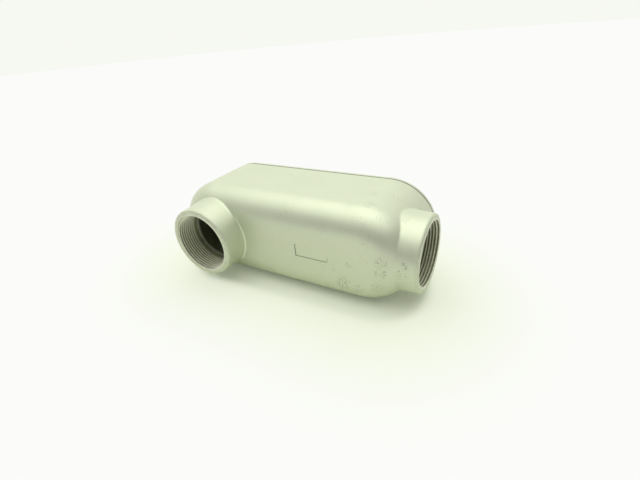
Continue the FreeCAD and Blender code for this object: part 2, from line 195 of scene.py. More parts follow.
class Sheet:
    """A node tree that is being filled in."""

    def __init__(self, tree: bpy.types.NodeTree) -> None:
        """Empties the tree and keeps it."""
        tree.nodes.clear()
        self.tree = tree

    def add(self, kind: str, settings: Mapping[str, Any] | None = None,
            sockets: Mapping[str | int, Any] | None = None) -> bpy.types.Node:
        """Adds one node.

        Args:
            kind: The node's type.
            settings: Its properties, set first.
            sockets: Its inputs by name or number, each a plain value or a Signal to link.

        Returns:
            The node.
        """
        node = self.tree.nodes.new(kind)
        for name, value in (settings or {}).items():
            setattr(node, name, value)
        for name, value in (sockets or {}).items():
            if isinstance(value, Signal):
                self.tree.links.new(value.socket, node.inputs[name])
            elif node.inputs[name].type == "RGBA" and len(value) == 3:
                node.inputs[name].default_value = (*value, 1.0)
            else:
                node.inputs[name].default_value = value
        return node

    def signal(self, kind: str, settings: Mapping[str, Any] | None = None,
               sockets: Mapping[str | int, Any] | None = None, output: str | int = 0) -> Signal:
        """Adds one node and returns one of its outputs.

        Args:
            kind: The node's type.
            settings: As add takes them.
            sockets: As add takes them.
            output: The output's name or number.

        Returns:
            That output.
        """
        return Signal(self, self.add(kind, settings, sockets).outputs[output])

    def place(self) -> Signal:
        """The point's place in the object's own frame, in metres."""
        return self.signal("ShaderNodeTexCoord", output="Object")

    def split(self, vector: Signal) -> tuple[Signal, Signal, Signal]:
        """The three parts of a vector."""
        x, y, z = self.add("ShaderNodeSeparateXYZ", sockets={0: vector}).outputs
        return Signal(self, x), Signal(self, y), Signal(self, z)

    def noise(self, vector: Signal, grain: float, detail: float = 2.0,
              rough: float = 0.5) -> Signal:
        """Soft noise from 0 to 1.

        Args:
            vector: Where to read it.
            grain: The size of its blots, in metres.
            detail: How many finer layers it has.
            rough: How strong those are.

        Returns:
            The noise.
        """
        return self.signal("ShaderNodeTexNoise", {}, {
            "Vector": vector, "Scale": 1.0 / grain, "Detail": detail, "Roughness": rough})

    def blend(self, mask: "Signal | float", first: "Signal | Colour",
              second: "Signal | Colour") -> Signal:
        """Mixes two colours.

        Args:
            mask: How much of the second shows, from 0 to 1.
            first: The colour where the mask is 0.
            second: The colour where the mask is 1.

        Returns:
            The mixed colour.
        """
        return self.signal("ShaderNodeMix", {"data_type": "RGBA"}, {0: mask, 6: first, 7: second},
                           output=2)

    def stretch(self, vector: Signal, scale: Triple) -> Signal:
        """The vector with each part scaled on its own."""
        return self.signal("ShaderNodeVectorMath", {"operation": "MULTIPLY"}, {0: vector, 1: scale})

    def bump(self, height: Signal, depth: float, strength: float = 1.0,
             under: Signal | None = None) -> Signal:
        """A normal bent by a height.

        Args:
            height: The height, from 0 to 1.
            depth: What a height of 1 is, in metres.
            strength: How much of it shows.
            under: A normal to build on.

        Returns:
            The bent normal.
        """
        sockets: dict[str | int, Any] = {"Height": height, "Distance": depth, "Strength": strength}
        if under is not None:
            sockets["Normal"] = under
        return self.signal("ShaderNodeBump", {}, sockets)


class Spot:
    """The point that is being shaded, in the row frame and in metres.

    Attributes:
        sheet: The sheet that it is read on.
        place: The point as one vector.
        x: Its place along the body.
        y: Its place out of the cover.
        z: Its height.
    """

    def __init__(self, sheet: Sheet) -> None:
        """Reads the point on a sheet.

        Args:
            sheet: Where to add nodes.
        """
        self.sheet = sheet
        self.place = sheet.place()
        self.x, self.y, self.z = sheet.split(self.place)

    def gap(self, middle: Vector) -> Signal:
        """How far the point is from a place.

        Args:
            middle: The place, in metres.

        Returns:
            The distance.
        """
        return self.sheet.signal("ShaderNodeVectorMath", {"operation": "DISTANCE"},
                                 {0: self.place, 1: middle}, "Value")

    def in_hub(self, hub: Hub) -> tuple[Signal, Signal]:
        """Where the point is in a hub's bore.

        Args:
            hub: Which hub.

        Returns:
            How far it is from the hub's axis, and how deep it is below the hub's face.
        """
        place = HubPlace.of(hub)
        parts, along = (self.x, self.y, self.z), place.along
        depth = (place.mouth[along] - parts[along]) * place.outward[along]
        first, second = (parts[axis] - place.mouth[axis] for axis in range(3) if axis != along)
        return (first * first + second * second).root(), depth


class Finish:
    """A material made on its own sheet."""

    name: str

    def material(self) -> bpy.types.Material:
        """Makes the material.

        Returns:
            A new material with its nodes.
        """
        made = bpy.data.materials.new(self.name)
        made.use_nodes = True
        sheet = Sheet(made.node_tree)
        shader = sheet.add("ShaderNodeBsdfPrincipled", {}, self.wire(sheet))
        sheet.add("ShaderNodeOutputMaterial", {}, {"Surface": Signal(sheet, shader.outputs[0])})
        return made

    def wire(self, sheet: Sheet) -> dict[str | int, Any]:
        """The shader's sockets.

        Args:
            sheet: Where to add nodes.

        Returns:
            Values and signals by socket name.
        """
        raise NotImplementedError


# ---------------------------------------------------------------- finishes


@dataclass(frozen=True)
class Blemish:
    """A patch of pitted and dirty paint.

    Attributes:
        place: Its middle, in millimetres.
        radius: How far it reaches, in millimetres.
        strength: How much of it shows, from 0 to 1.
    """

    place: Triple
    radius: float
    strength: float

    def mask(self, spot: Spot) -> Signal:
        """The patch, full up to about a third of its radius and gone at its radius.

        Args:
            spot: The point.

        Returns:
            From 0 to the patch's strength.
        """
        reach = self.radius * MM
        return spot.gap(Vector(self.place) * MM).ramp(reach, reach * 0.35) * self.strength


BLEMISHES = (
    Blemish((91.0, 14.0, 108.0), 8.0, 0.55),
    Blemish((97.0, -11.0, 107.8), 9.0, 0.50),
    Blemish((113.0, -23.0, 100.7), 7.0, 0.30),
    Blemish((132.0, -7.0, 94.5), 6.0, 0.35),
    Blemish((105.0, -39.5, 82.0), 11.0, 0.25),
    Blemish((119.5, -40.0, 61.0), 10.0, 0.75),
    Blemish((119.0, -40.0, 49.0), 9.0, 0.85),
    Blemish((116.0, -38.5, 30.0), 10.0, 0.60),
    Blemish((139.0, -36.5, 51.0), 9.0, 0.60),
    Blemish((141.5, -36.0, 61.5), 5.0, 1.00),
    Blemish((77.0, -40.2, 27.0), 12.0, 0.80),
    Blemish((95.0, -39.4, 23.0), 9.0, 0.60),
    Blemish((84.5, -40.3, 51.0), 5.5, 0.80),
    Blemish((67.0, -40.3, 41.0), 3.0, 1.00),
)


@dataclass(frozen=True)
class MarkingField:
    """The sunken bare field on the wall that the back hub stands on.

    Attributes:
        middle: Its middle, along the body and up.
        half: Half its size, along and up.
        line: How wide the dark line along its edges is.
        inset: How far inside its edges that line runs.
        strength: How much of the dark lines shows.
        skin: Where the wall begins and ends to count, out of the cover.
    """

    middle: Span = (40.6 * MM, 55.4 * MM)
    half: Span = (19.8 * MM, 7.5 * MM)
    line: float = 0.55 * MM
    inset: float = 0.2 * MM
    strength: float = 0.85
    skin: Span = (-38.0 * MM, -39.0 * MM)

    def dirt_and_dark_lines(self, spot: Spot) -> Signal:
        """Dark lines down both sides and along the lower edge, broken in places.

        Args:
            spot: The point.

        Returns:
            1 in the dirt and 0 elsewhere.
        """
        along, up = spot.x - self.middle[0], spot.z - self.middle[1]
        (half_along, half_up), line = self.half, self.line
        highlight_and_gaps = spot.sheet.noise(spot.place, 3.2 * MM, 2.0, 0.6)
        beside = up.ramp(-half_up - line, -half_up) * up.ramp(half_up, half_up - 1.5 * MM)
        below = (along.ramp(-half_along - line, -half_along)
                 * along.ramp(half_along, half_along - line))
        left = (along + (half_along - self.inset)).line(line) * beside * highlight_and_gaps.ramp(0.34, 0.46)
        low_half = up.ramp(2.0 * MM, -6.0 * MM)
        right = ((along - (half_along - self.inset)).line(line) * beside * low_half
                 * highlight_and_gaps.ramp(0.42, 0.54))
        bottom = ((up + (half_up - self.inset)).line(line * 0.9) * below
                  * highlight_and_gaps.ramp(0.30, 0.48) * 0.75)
        return left.most(right).most(bottom) * spot.y.ramp(*self.skin) * self.strength


@dataclass(frozen=True)
class CastingPaint(Finish):
    """Satin aluminium paint over a sand casting, with bare cut metal in the bores and the seat."""

    name: str = "casting_paint"
    paint: Colour = (0.75, 0.80, 0.605)
    deep_paint: Colour = (0.69, 0.74, 0.555)
    # The light colour below is a painted highlight along the bead at the back hub's foot.
    highlight_and_gaps: Colour = (0.93, 0.96, 0.78)
    speck: Colour = (0.23, 0.24, 0.17)
    # The dark colour below draws the lines round the marking field and the band beside the seat.
    dirt_and_dark_lines: Colour = (0.16, 0.16, 0.10)
    cut_metal: Colour = (0.36, 0.37, 0.28)
    throat_metal: Colour = (0.48, 0.49, 0.32)
    # The darker colour below is painted shade inside the closed chamber.
    chamber_shade: Colour = (0.48, 0.49, 0.37)
    metallic: float = 0.45
    roughness: float = 0.46
    cloud_grain: float = 55 * MM
    patch_grain: float = 30 * MM
    swell_grain: float = 24 * MM
    mottle_grain: float = 6 * MM
    speck_grain: float = 2.0 * MM
    rim_grain: float = 1.5 * MM
    sand_grain: float = 0.8 * MM
    swell_depth: float = 0.25 * MM
    sand_depth: float = 0.05 * MM
    pit_depth: float = 0.12 * MM
    wall_round: float = 29.0 * MM
    back_reach: float = 28.2 * MM
    bore_radius: float = 36.48 * MM
    throat_radius: float = 33.6 * MM
    bushing_radius: float = 32.8 * MM
    thread_depth: float = 24.2 * MM
    bore_depth: float = 33.5 * MM
    rim_depth: float = 3.0 * MM
    bead_radius: float = 44.6 * MM
    bead_width: float = 1.5 * MM
    seat_skin: Span = (0.15 * MM, 0.02 * MM)
    seam_skin: Span = (1.1 * MM, 0.4 * MM)

    def wire(self, sheet: Sheet) -> dict[str | int, Any]:
        """The shader's sockets.

        Args:
            sheet: Where to add nodes.

        Returns:
            Values and signals by socket name.
        """
        spot = Spot(sheet)
        cloud = sheet.noise(spot.place, self.cloud_grain, 3.0)
        mottle = sheet.noise(spot.place, self.mottle_grain, 4.0, 0.6)
        specks = self.specks(spot)
        inside = self.inside(spot)
        bores, throats, rims = self.hub_zones(spot)
        seat, seam = (spot.y.ramp(*(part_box("gasket")[0].y - reach for reach in skin))
                      for skin in (self.seat_skin, self.seam_skin))
        rim_dirt = rims * sheet.noise(spot.place, self.rim_grain, 2.0).ramp(0.50, 0.62)

        tone = (cloud - 0.5) * 0.9 + (mottle - 0.5) * 0.6 + 0.5
        colour: Signal | Colour = sheet.blend(tone, self.deep_paint, self.paint)
        for mask, over in (
                # Painted highlight along the bead at the back hub's foot.
                (self.bead(spot), self.highlight_and_gaps),
                (rim_dirt * 0.20, self.speck),
                (specks * 0.7, self.speck),
                # Dark lines along the marking field's left, bottom and lower right edges.
                (MarkingField().dirt_and_dark_lines(spot), self.dirt_and_dark_lines),
                (seam * (mottle * 0.6 + 0.6), self.dirt_and_dark_lines),
                # Painted shade on the chamber's inner walls.
                (inside, self.chamber_shade),
                (bores.most(seat), self.cut_metal),
                (throats, self.throat_metal)):
            colour = sheet.blend(mask, colour, over)

        sand = sheet.noise(spot.place, self.sand_grain, 2.0, 0.6)
        normal = sheet.bump(sheet.noise(spot.place, self.swell_grain, 2.0), self.swell_depth)
        normal = sheet.bump(sand * (rims * 1.2 + 0.4) + mottle * 0.5, self.sand_depth, 0.8, normal)
        normal = sheet.bump(1.0 - specks, self.pit_depth, 0.9, normal)
        dulled = specks * 0.15 + inside.most(rims * 0.5) * 0.2
        return {
            "Base Color": colour, "Metallic": self.metallic, "Normal": normal,
            "Roughness": (mottle - 0.5) * 0.10 + self.roughness + dulled}

    def specks(self, spot: Spot) -> Signal:
        """Small pits and specks of dirt, thick in the blemishes and thin elsewhere.

        Args:
            spot: The point.

        Returns:
            1 in a speck and 0 elsewhere.
        """
        sheet, place = spot.sheet, spot.place
        patches = sheet.noise(place, self.patch_grain, 4.0, 0.6).ramp(0.50, 0.72) * 0.22
        for blemish in BLEMISHES:
            patches = patches.most(blemish.mask(spot))
        dust = sheet.noise(place, self.speck_grain * 0.6, 1.0, 0.4).ramp(0.55, 0.65) * 0.8
        small = sheet.noise(place, self.speck_grain, 1.0, 0.4).ramp(0.60, 0.70)
        large = sheet.noise(place, self.speck_grain * 2.2, 1.0, 0.4).ramp(0.67, 0.74)
        return dust.most(small).most(large) * patches

    def bead(self, spot: Spot) -> Signal:
        """The top of the cast bead at the back hub's foot, lightened as a painted highlight.

        Args:
            spot: The point.

        Returns:
            1 along the bead and 0 elsewhere.
        """
        radius, depth = spot.in_hub(Hub.BACK)
        above_wall = self.back_reach - depth
        proud = above_wall.ramp(0.15 * MM, 0.6 * MM) * above_wall.ramp(3.0 * MM, 2.2 * MM)
        return (radius - self.bead_radius).line(self.bead_width) * proud * 0.9

    def inside(self, spot: Spot) -> Signal:
        """The chamber's walls.

        The outside is a rounded slot in plan with one rounded back edge, so a distance to its
        rounded core tells the two skins of the wall apart.

        Args:
            spot: The point.

        Returns:
            1 on the chamber's walls and 0 outside.
        """
        low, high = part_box("cover")
        half = (high.z - low.z) / 2
        up = spot.z - (high.z + low.z) / 2
        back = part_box("body")[0].y + self.back_reach
        over = spot.x - spot.x.most(low.x + half).least(high.x - half)
        flat = (over * over + up * up).root()
        side = (flat - (half - self.wall_round)).most(0.0)
        deep = (back + self.wall_round - spot.y).most(0.0)
        skin = (side * side + deep * deep).root()
        return skin.ramp(self.wall_round - 2.0 * MM, self.wall_round - 2.8 * MM)

    def hub_zones(self, spot: Spot) -> tuple[Signal, Signal, Signal]:
        """Masks over both hubs.

        Args:
            spot: The point.

        Returns:
            The machined bores, the throats behind the threads, and the rims.
        """
        zones: list[tuple[Signal, Signal, Signal]] = []
        for hub in Hub:
            radius, depth = spot.in_hub(hub)
            in_bore = radius.ramp(self.bore_radius, self.bore_radius - 0.15 * MM)
            bore = in_bore * depth.ramp(self.bore_depth, self.bore_depth - 0.5 * MM)
            behind_thread = depth.ramp(self.thread_depth - 0.6 * MM, self.thread_depth)
            throat = bore * radius.ramp(self.bushing_radius, self.throat_radius) * behind_thread
            rim = depth.ramp(self.rim_depth + 1.2 * MM, self.rim_depth - 0.8 * MM) * (1.0 - in_bore)
            zones.append((bore, throat, rim))
        bores, throats, rims = (end.most(back) for end, back in zip(*zones))
        return bores, throats, rims


@dataclass(frozen=True)
class CoverPaint(Finish):
    """The same paint over the cover's finer casting, scuffed where the cover has been handled."""

    name: str = "cover_paint"
    paint: Colour = (0.75, 0.80, 0.605)
    deep_paint: Colour = (0.70, 0.745, 0.56)
    scuffed: Colour = (0.30, 0.31, 0.24)
    metallic: float = 0.45
    roughness: float = 0.38
    cloud_grain: float = 70 * MM
    peel_grain: float = 2.2 * MM
    peel_depth: float = 0.035 * MM
    scuff_grain: float = 7 * MM
    scuff_stretch: Triple = (0.6, 1.0, 1.5)

    def wire(self, sheet: Sheet) -> dict[str | int, Any]:
        """The shader's sockets.

        Args:
            sheet: Where to add nodes.

        Returns:
            Values and signals by socket name.
        """
        place = sheet.place()
        cloud = sheet.noise(place, self.cloud_grain, 3.0)
        peel = sheet.noise(place, self.peel_grain, 3.0)
        drawn_out = sheet.stretch(place, self.scuff_stretch)
        scuff = sheet.noise(drawn_out, self.scuff_grain, 5.0, 0.7).ramp(0.60, 0.76) * 0.14
        colour = sheet.blend((cloud - 0.5) * 1.1 + 0.5, self.deep_paint, self.paint)
        return {
            "Base Color": sheet.blend(scuff, colour, self.scuffed), "Metallic": self.metallic,
            "Roughness": (peel - 0.5) * 0.08 + scuff + self.roughness,
            "Normal": sheet.bump(peel, self.peel_depth, 0.8)}


@dataclass(frozen=True)
class CutThread(Finish):
    """Cut metal of a pipe thread, with painted shade in the grooves, a painted highlight along the
    crests, and the crest's light colour at the mouth.
    """

    name: str = "cut_thread"
    # The colour below is painted shade in the grooves; the one after it is a painted highlight on
    # the crests.
    groove_shade: Colour = (0.20, 0.20, 0.12)
    crest: Colour = (0.88, 0.90, 0.70)
    crest_radius: float = 34.75 * MM
    root_radius: float = 35.95 * MM
    mouth_depth: Span = (1.3 * MM, 0.5 * MM)
    metallic: float = 0.12
    roughness: float = 0.50
    grime_grain: float = 3.5 * MM
    tool_grain: float = 0.7 * MM
    tool_depth: float = 0.03 * MM

    def wire(self, sheet: Sheet) -> dict[str | int, Any]:
        """The shader's sockets.

        Args:
            sheet: Where to add nodes.

        Returns:
            Values and signals by socket name.
        """
        spot = Spot(sheet)
        at_end = spot.x.ramp(0.0, MM)
        radius, depth = (end * at_end + back * (1.0 - at_end)
                         for end, back in zip(spot.in_hub(Hub.END), spot.in_hub(Hub.BACK)))
        tops = radius.ramp(self.root_radius, self.crest_radius).most(depth.ramp(*self.mouth_depth))
        dirt_and_dark_lines = sheet.noise(spot.place, self.grime_grain, 4.0, 0.65) - 0.5
        # From painted shade in the grooves to a painted highlight on the crests and at the mouth.
        light_and_shade = (tops * 0.9 + dirt_and_dark_lines * 0.5).least(1.0).most(0.0)
        tooling = sheet.noise(spot.place, self.tool_grain, 2.0)
        return {
            "Base Color": sheet.blend(light_and_shade, self.groove_shade, self.crest), "Metallic": self.metallic,
            "Roughness": self.roughness - tops * 0.14 + dirt_and_dark_lines * 0.1,
            "Normal": sheet.bump(tooling, self.tool_depth, 0.7)}


@dataclass(frozen=True)
class GasketRubber(Finish):
    """Matt black rubber with a bloom of dust."""

    name: str = "gasket_rubber"
    rubber: Colour = (0.022, 0.022, 0.018)
    bloom: Colour = (0.10, 0.10, 0.085)
    roughness: float = 0.72
    dust_grain: float = 12 * MM
    pore_grain: float = 0.9 * MM
    pore_depth: float = 0.04 * MM

    def wire(self, sheet: Sheet) -> dict[str | int, Any]:
        """The shader's sockets.

        Args:
            sheet: Where to add nodes.

        Returns:
            Values and signals by socket name.
        """
        place = sheet.place()
        dust = sheet.noise(place, self.dust_grain, 5.0, 0.6).ramp(0.45, 0.75)
        pores = sheet.noise(place, self.pore_grain, 2.0)
        return {
            "Base Color": sheet.blend(dust * 0.3, self.rubber, self.bloom),
            "Roughness": dust * 0.12 + self.roughness,
            "Normal": sheet.bump(pores, self.pore_depth, 0.8)}


@dataclass(frozen=True)
class ZincSteel(Finish):
    """Zinc plate on turned steel, with a fine grain and dulled patches."""

    name: str = "screw_steel"
    bright: Colour = (0.62, 0.61, 0.56)
    dull: Colour = (0.40, 0.40, 0.35)
    metallic: float = 0.9
    roughness: float = 0.34
    patch_grain: float = 3.0 * MM
    fine_grain: float = 0.5 * MM
    fine_depth: float = 0.02 * MM

    def wire(self, sheet: Sheet) -> dict[str | int, Any]:
        """The shader's sockets.

        Args:
            sheet: Where to add nodes.

        Returns:
            Values and signals by socket name.
        """
        place = sheet.place()
        patch = sheet.noise(place, self.patch_grain, 4.0, 0.6)
        fine = sheet.noise(place, self.fine_grain, 2.0)
        return {
            "Base Color": sheet.blend(patch.ramp(0.35, 0.7), self.dull, self.bright),
            "Metallic": self.metallic, "Roughness": (patch - 0.5) * 0.2 + self.roughness,
            "Normal": sheet.bump(fine, self.fine_depth, 0.7)}


@dataclass(frozen=True)
class VulcanisedFibre(Finish):
    """Red-brown vulcanised fibre with a pressed weave of short fibres."""

    name: str = "retainer_fibre"
    light: Colour = (0.26, 0.075, 0.040)
    dark: Colour = (0.16, 0.040, 0.024)
    roughness: float = 0.55
    strand_grain: float = 0.8 * MM
    strand_stretch: Triple = (0.35, 1.0, 2.0)
    strand_depth: float = 0.03 * MM

    def wire(self, sheet: Sheet) -> dict[str | int, Any]:
        """The shader's sockets.

        Args:
            sheet: Where to add nodes.

        Returns:
            Values and signals by socket name.
        """
        drawn_out = sheet.stretch(sheet.place(), self.strand_stretch)
        strands = sheet.noise(drawn_out, self.strand_grain, 4.0, 0.7)
        return {
            "Base Color": sheet.blend(strands.ramp(0.35, 0.65), self.dark, self.light),
            "Roughness": strands * 0.15 + self.roughness,
            "Normal": sheet.bump(strands, self.strand_depth, 0.8)}


# ---------------------------------------------------------------- modelling steps


def clear_selection() -> None:
    """Leaves edit mode and deselects every object."""
    if bpy.context.object is not None and bpy.context.object.mode != "OBJECT":
        bpy.ops.object.mode_set(mode="OBJECT")
    bpy.ops.object.select_all(action="DESELECT")


def take(piece: bpy.types.Object) -> None:
    """Makes a piece the only selected and active object.

    Args:
        piece: The piece.
    """
    clear_selection()
    piece.select_set(True)
    bpy.context.view_layer.objects.active = piece


def pick(part: Part, test: Callable[[Vector], bool]) -> None:
    """Selects what passes a test in the mesh being edited, and nothing else.

    Args:
        part: Whether corners or edges are tested.
        test: Takes a corner's place or an edge's middle.
    """
    mesh = bpy.context.object.data
    bpy.ops.mesh.select_mode(type=part.value)
    bpy.ops.mesh.select_all(action="DESELECT")
    work = bmesh.from_edit_mesh(mesh)
    for row in work.verts if part is Part.VERTS else work.edges:
        middle = row.co if part is Part.VERTS else (row.verts[0].co + row.verts[1].co) / 2
        if test(middle):
            row.select_set(True)
    bmesh.update_edit_mesh(mesh)


def modify(piece: bpy.types.Object, kind: str, **settings: Any) -> None:
    """Adds a modifier to the piece and applies it.

    Args:
        piece: The piece.
        kind: The modifier's type.
        **settings: Its properties.
    """
    take(piece)
    modifier = piece.modifiers.new(kind.title(), kind)
    for name, value in settings.items():
        setattr(modifier, name, value)
    bpy.ops.object.modifier_apply(modifier=modifier.name)


def settle(piece: bpy.types.Object, smooth_angle: float) -> None:
    """Closes a piece's mesh, points its faces outwards and smooths it.

    Args:
        piece: The piece.
        smooth_angle: Edges sharper than this stay sharp, in radians.
    """
    take(piece)
    bpy.ops.object.mode_set(mode="EDIT")
    bpy.ops.mesh.select_all(action="SELECT")
    bpy.ops.mesh.remove_doubles(threshold=WELD)
    bpy.ops.mesh.normals_make_consistent(inside=False)
    bpy.ops.object.mode_set(mode="OBJECT")
    bpy.ops.object.shade_smooth_by_angle(angle=smooth_angle)


def copy_of(piece: bpy.types.Object, name: str, place: Matrix) -> bpy.types.Object:
    """A copy with its own mesh, put in place with the place in its mesh.

    Args:
        piece: What to copy.
        name: The copy's name.
        place: Where it goes.

    Returns:
        The copy.
    """
    take(piece)
    bpy.ops.object.duplicate(linked=False)
    made = bpy.context.object
    made.name = made.data.name = name
    made.matrix_world = place
    bpy.ops.object.transform_apply(location=True, rotation=True, scale=True)
    return made


def dress(piece: bpy.types.Object, material: bpy.types.Material) -> None:
    """Gives every material slot of a piece one material.

    Args:
        piece: The piece.
        material: The material.
    """
    if not piece.material_slots:
        piece.data.materials.append(material)
    for slot in piece.material_slots:
        slot.link = "OBJECT"
        slot.material = material


def pointing(direction: Vector, place: Vector, turn: float = 0.0) -> Matrix:
    """The matrix that puts a piece's own Z along a direction.

    Args:
        direction: Where its Z goes.
        place: Where its origin goes.
        turn: How far it is first turned about its own Z, in radians.

    Returns:
        The matrix.
    """
    across = direction.to_track_quat("Z", "Y").to_matrix().to_4x4()
    return Matrix.Translation(place) @ across @ Matrix.Rotation(turn, 4, "Z")


@dataclass(frozen=True)
class Tooth:
    """The section of a thread's ridge.

    Attributes:
        root: The radius of its foot.
        crest: The radius of its top, inside or outside the foot.
        root_width: How wide the foot is, along the axis.
        crest_width: How wide the top is.
    """

    root: float
    crest: float
    root_width: float
    crest_width: float

    @property
    def height(self) -> float:
        """How far its top stands from its foot."""
        return abs(self.root - self.crest)


def tooth_helix(name: str, tooth: Tooth, pitch: float, turns: int, steps: int,
                start: float) -> bpy.types.Object:
    """A thread's ridge, as one closed right-hand helix about Z.

    Args:
        name: The piece's name.
        tooth: The ridge's section.
        pitch: The rise of one turn.
        turns: How many turns.
        steps: Steps in a turn.
        start: Where along Z the first tooth's middle is.

    Returns:
        The ridge, with a vertex group "crest" over its top.
    """
    clear_selection()
    middle = (tooth.root + tooth.crest) / 2
    bpy.ops.mesh.primitive_plane_add(size=1.0, location=(middle, 0.0, start),
                                     rotation=(math.pi / 2, 0.0, 0.0))
    ridge = bpy.context.object
    ridge.name = ridge.data.name = name
    ridge.scale = (tooth.height, tooth.root_width, 1.0)
    bpy.ops.object.transform_apply(location=True, rotation=True, scale=True)
    bpy.ops.object.mode_set(mode="EDIT")
    pick(Part.VERTS, lambda co: abs(co.x - tooth.crest) < tooth.height / 4)
    bpy.ops.transform.resize(value=(1.0, 1.0, tooth.crest_width / tooth.root_width))
    bpy.ops.object.vertex_group_add()
    bpy.ops.object.vertex_group_assign()
    bpy.ops.mesh.select_all(action="SELECT")
    bpy.ops.mesh.delete(type="ONLY_FACE")
    bpy.ops.object.mode_set(mode="OBJECT")
    ridge.vertex_groups[0].name = "crest"
    modify(ridge, "SCREW", axis="Z", screw_offset=pitch, iterations=turns, steps=steps,
           render_steps=steps, use_smooth_shade=False)
    bpy.ops.object.mode_set(mode="EDIT")
    bpy.ops.mesh.select_all(action="SELECT")
    bpy.ops.mesh.fill_holes(sides=4)
    bpy.ops.mesh.select_all(action="SELECT")
    bpy.ops.mesh.normals_make_consistent(inside=False)
    bpy.ops.object.mode_set(mode="OBJECT")
    return ridge


# ---------------------------------------------------------------- sub-assemblies


@dataclass
class Casting:
    """The cast body and the pipe threads cut inside its hubs."""

    body: str = "casting"
    tooth: Tooth = Tooth(
        root=36.45 * MM, crest=34.25 * MM, root_width=3.02 * MM, crest_width=0.22 * MM)
    pitch: float = 3.175 * MM
    turns: int = 9
    steps: int = 128
    taper: float = 1 / 32
    mouth_radius: float = 35.5 * MM
    rim_radius: float = 36.78 * MM
    mouth_gap: float = 0.04 * MM
    smooth_angle: float = math.radians(30)
    made: list[str] = field(default_factory=list)

    def build(self) -> None:
        """Dresses the casting and builds both threads."""
        dress(frame["nodes"]["body"], CastingPaint().material())
        metal = CutThread().material()
        ridge = self.thread()
        for hub in Hub:
            place = HubPlace.of(hub)
            piece = copy_of(ridge, f"{hub.value}_thread", pointing(-place.outward, place.mouth))
            dress(piece, metal)
            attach(piece, self.body)
            self.made.append(piece.name)
        bpy.data.objects.remove(ridge)

    def thread(self) -> bpy.types.Object:
        """Builds one hub's thread.

        Returns:
            The ridge, with the mouth at Z = 0 and its depth along Z.
        """
        ridge = tooth_helix("hub_thread", self.tooth, self.pitch, self.turns, self.steps,
                            self.mouth_gap - self.tooth.root_width / 2)
        length = self.turns * self.pitch + self.tooth.root_width
        modify(ridge, "SIMPLE_DEFORM", deform_method="TAPER", deform_axis="Z", vertex_group="crest",
               factor=-self.taper * length / self.tooth.crest)
        self.trim_mouth(ridge)
        settle(ridge, self.smooth_angle)
        return ridge

    def trim_mouth(self, ridge: bpy.types.Object) -> None:
        """Ends the thread at the hub's face and thins its first teeth as the mouth's chamfer does.

        Args:
            ridge: The thread, with four corners to each step and its tops in a vertex group.
        """
        face = self.mouth_gap
        corners = list(ridge.data.vertices)
        for first in range(0, len(corners), 4):
            step = sorted(corners[first:first + 4], key=lambda corner: corner.co.z)
            low_foot, high_foot = (corner for corner in step if not corner.groups)
            low_top, high_top = (corner for corner in step if corner.groups)
            foot, top = high_foot.co.xy.length, high_top.co.xy.length
            if high_top.co.z < face:
                flank = high_foot.co.z - high_top.co.z
                top = foot - (foot - top) * (high_foot.co.z - face) / flank
            for corner in (low_top, high_top):
                corner.co.z = max(corner.co.z, face)
                corner.co.xy *= max(top, self.mouth_radius - corner.co.z) / corner.co.xy.length
            low_foot.co.z = max(low_foot.co.z, face)
            for corner in (low_foot, high_foot):
                corner.co.xy *= max(foot, self.rim_radius - corner.co.z) / corner.co.xy.length


